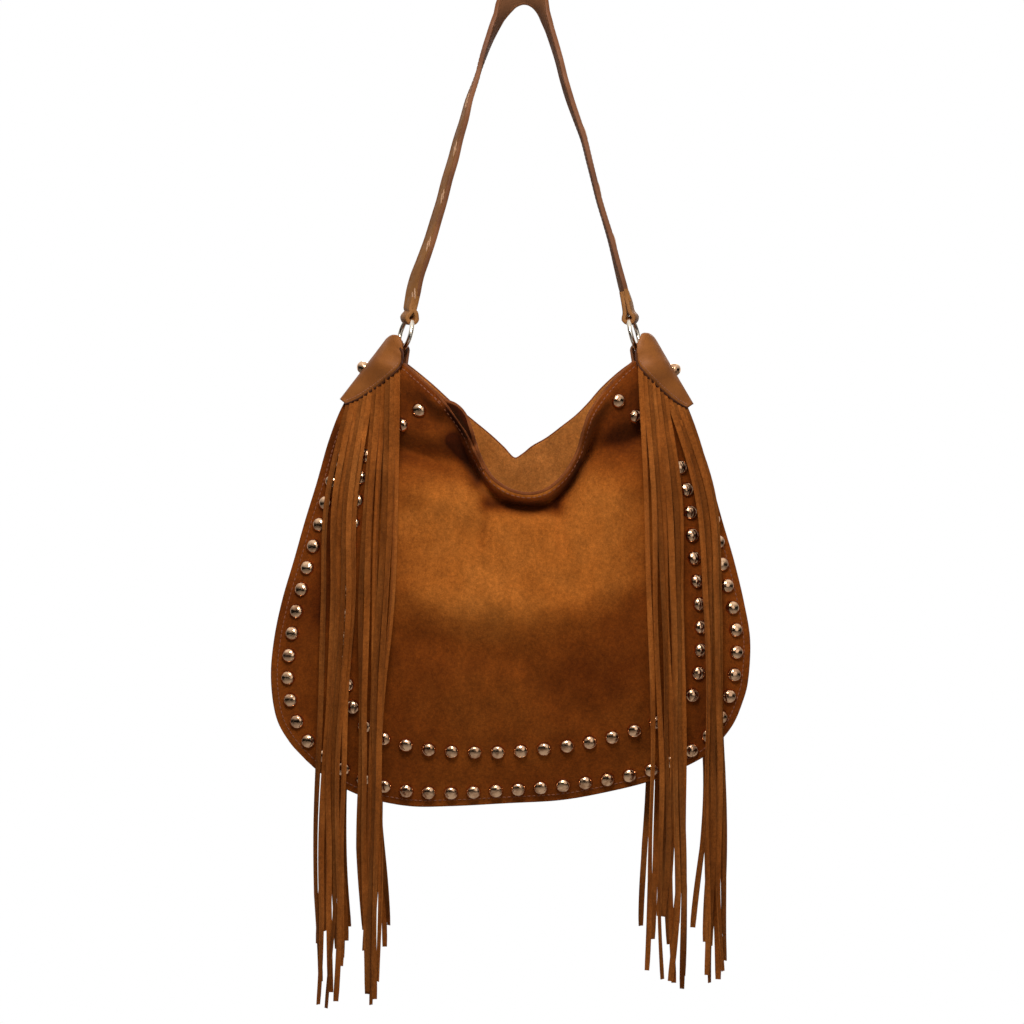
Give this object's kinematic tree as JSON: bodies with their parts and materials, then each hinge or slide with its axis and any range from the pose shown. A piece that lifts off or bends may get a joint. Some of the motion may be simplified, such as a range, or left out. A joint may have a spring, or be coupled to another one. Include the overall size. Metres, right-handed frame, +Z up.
{
  "type": "fringed suede shoulder bag",
  "caption": "Slouchy suede hobo bag with a long shoulder strap on two metal rings, leather side tabs, dome studs along its edge and long cut fringes.",
  "frame": {"origin": "underside of the strap's crown, where a hook bears", "axes": "+Z up, front of the bag towards -Y, +X to the right as seen from the front"},
  "size_m": [0.4077, 0.0862, 0.859],
  "materials": {
    "tan_suede": "napped suede",
    "fringe_suede": "napped suede, cut in strips",
    "tab_leather": "smooth matt leather",
    "strap_leather": "smooth matt leather with pale lace stitches",
    "pale_gold_metal": "polished pale gold plating",
    "rose_gold_metal": "polished rose gold plating"
  },
  "bodies": {
    "strap": {"strap": "strap_leather"},
    "left_ring": {"left_ring": "pale_gold_metal"},
    "right_ring": {"right_ring": "pale_gold_metal"},
    "bag": {"front_panel": "tan_suede", "back_panel": "tan_suede", "left_tab": "tab_leather", "right_tab": "tab_leather", "left_side_stud": "rose_gold_metal", "right_side_stud": "rose_gold_metal", "left_ring_loop": "tab_leather", "right_ring_loop": "tab_leather", "left_front_fringe": "fringe_suede", "left_back_fringe": "fringe_suede", "right_front_fringe": "fringe_suede", "right_back_fringe": "fringe_suede"}
  },
  "joints": [
    {"name": "left_ring_turn", "type": "hinge", "parent": "strap", "child": "left_ring", "pos_m": [-0.1, 0, -0.294], "axis": [0.9067, 0.342, -0.2468], "continuous": true},
    {"name": "right_ring_turn", "type": "hinge", "parent": "strap", "child": "right_ring", "pos_m": [0.0945, 0, -0.294], "axis": [0.9406, -0.2419, 0.2383], "continuous": true},
    {"name": "bag_swing", "type": "hinge", "parent": "strap", "child": "bag", "pos_m": [0, 0, -0.294], "axis": [1, 0, 0], "range_deg": [-15, 15]}
  ]
}
